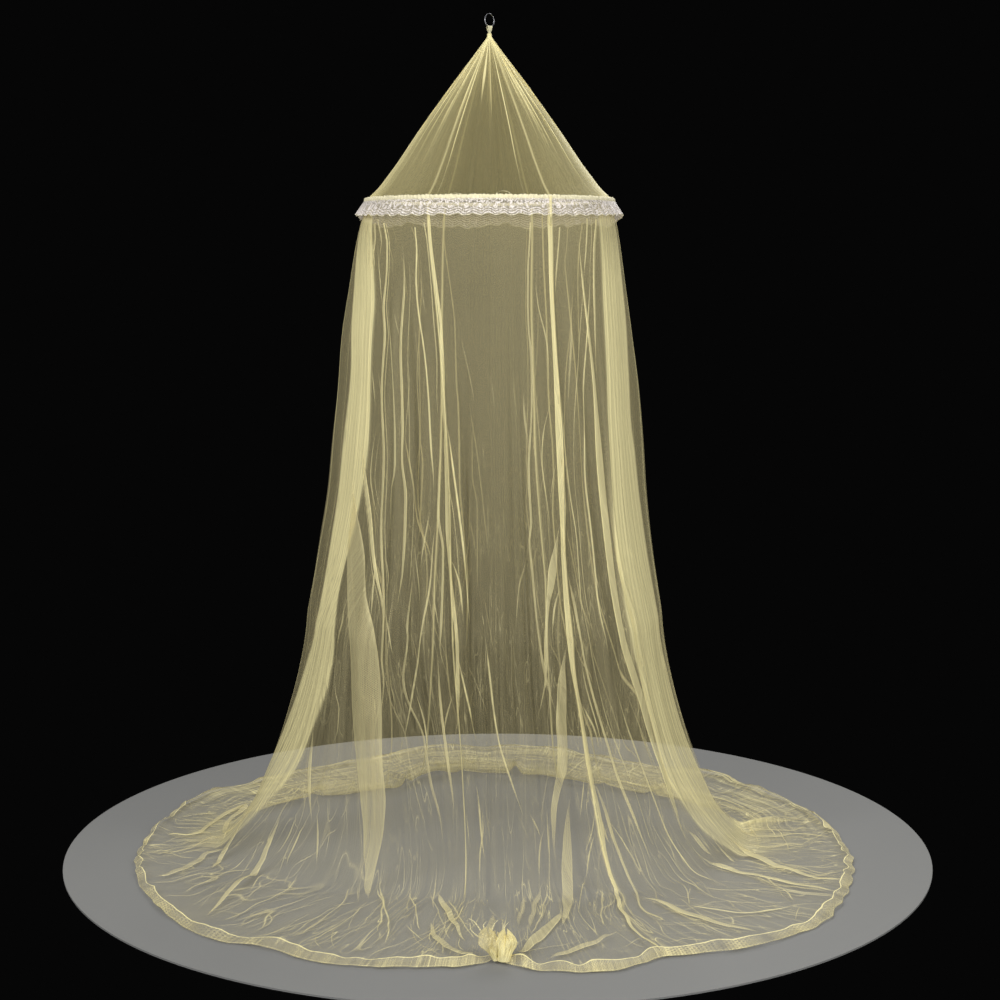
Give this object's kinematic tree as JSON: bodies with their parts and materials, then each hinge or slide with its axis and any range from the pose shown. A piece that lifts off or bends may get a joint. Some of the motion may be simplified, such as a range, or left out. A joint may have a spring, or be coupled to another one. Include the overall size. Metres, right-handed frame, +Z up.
{
  "type": "mosquito net canopy with hoop",
  "caption": "Sheer net canopy hung from a wire ring: gathered cone, hoop in a casing with a white lace frill, and a long skirt spread in a pool on the floor.",
  "frame": {"origin": "highest inner point of the hanging ring, where a ceiling hook carries the canopy", "axes": "+Z up along the canopy, -Y the front with the tied hem, +X to the right seen from the front"},
  "size_m": [1.7771, 1.8132, 2.0551],
  "materials": {
    "wire": "zinc plated wire, satin",
    "tape": "narrow woven tape, pale yellow",
    "net": "fine knitted polyester net, pale lemon cream, see-through",
    "rod": "plain lacquered rod",
    "binding": "gathered binding, pale yellow",
    "lace": "white scalloped lace, faintly lilac",
    "knot": "net bunched in many layers"
  },
  "bodies": {
    "root": {"hanging_ring": "wire", "tape_loop": "tape", "cone_front": "net", "cone_left": "net", "cone_back": "net", "cone_right": "net", "hoop": "rod", "hoop_casing": "binding", "lace_frill": "lace", "skirt_front": "net", "skirt_left": "net", "skirt_back": "net", "skirt_right": "net", "hem_knot": "knot"}
  },
  "joints": []
}
